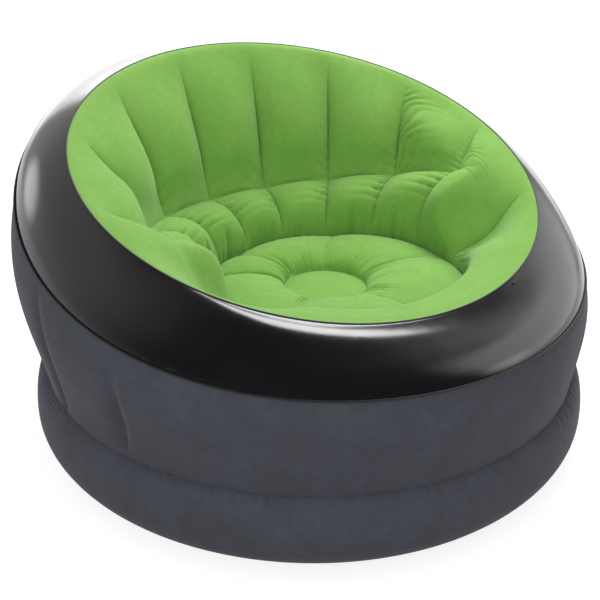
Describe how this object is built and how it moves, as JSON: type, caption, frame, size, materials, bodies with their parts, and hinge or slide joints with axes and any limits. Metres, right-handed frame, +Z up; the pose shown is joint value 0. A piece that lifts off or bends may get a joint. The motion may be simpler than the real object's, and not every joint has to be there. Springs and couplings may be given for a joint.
{
  "type": "inflatable chair",
  "caption": "Round inflatable lounge chair with a channelled scooped seat, glossy rim, flocked drum base and a capped inflation valve at the back.",
  "frame": {"origin": "centre of the flat base on the floor", "axes": "+Z up, -Y towards the open front, +Y towards the high back, +X to the right as seen from in front"},
  "size_m": [1.1176, 1.1122, 0.6961],
  "materials": {
    "charcoal_flock": "flocked matte nap",
    "gloss_vinyl": "smooth high gloss",
    "green_flock": "flocked matte nap",
    "weld_vinyl": "satin",
    "web_vinyl": "satin",
    "valve_plastic": "moulded satin",
    "valve_rubber": "soft matte"
  },
  "bodies": {
    "chair_body": {"bottom_sheet": "charcoal_flock", "base_ring_skin": "charcoal_flock", "side_wall_skin": "charcoal_flock", "rim_skin": "gloss_vinyl", "backrest_skin": "green_flock", "bolster_skin": "green_flock", "seat_ring_skin": "green_flock", "seat_centre_skin": "green_flock", "rim_weld_bead": "weld_vinyl", "lip_weld_bead": "weld_vinyl", "back_web_1": "web_vinyl", "back_web_2": "web_vinyl", "back_web_3": "web_vinyl", "back_web_4": "web_vinyl", "back_web_5": "web_vinyl", "back_web_6": "web_vinyl", "back_web_7": "web_vinyl", "back_web_8": "web_vinyl", "back_web_9": "web_vinyl", "back_web_10": "web_vinyl", "seat_web_1": "web_vinyl", "seat_web_2": "web_vinyl", "seat_web_3": "web_vinyl", "seat_web_4": "web_vinyl", "seat_web_5": "web_vinyl", "seat_web_6": "web_vinyl", "centre_tether": "web_vinyl", "waist_web": "web_vinyl", "valve_base": "valve_plastic", "valve_seal": "valve_rubber"},
    "plug": {"valve_plug": "valve_plastic"},
    "cap": {"valve_cap": "valve_plastic"},
    "flap": {"check_flap": "valve_rubber"}
  },
  "joints": [
    {"name": "plug_pull", "type": "slide", "parent": "chair_body", "child": "plug", "axis": [0, 1, 0], "range_m": [0, 0.026]},
    {"name": "cap_hinge", "type": "hinge", "parent": "plug", "child": "cap", "pos_m": [0, 0.5582, 0.1008], "axis": [1, 0, 0], "range_deg": [0, 150]},
    {"name": "flap_hinge", "type": "hinge", "parent": "plug", "child": "flap", "pos_m": [0, 0.5316, 0.0906], "axis": [-1, 0, 0], "range_deg": [0, 40]}
  ]
}
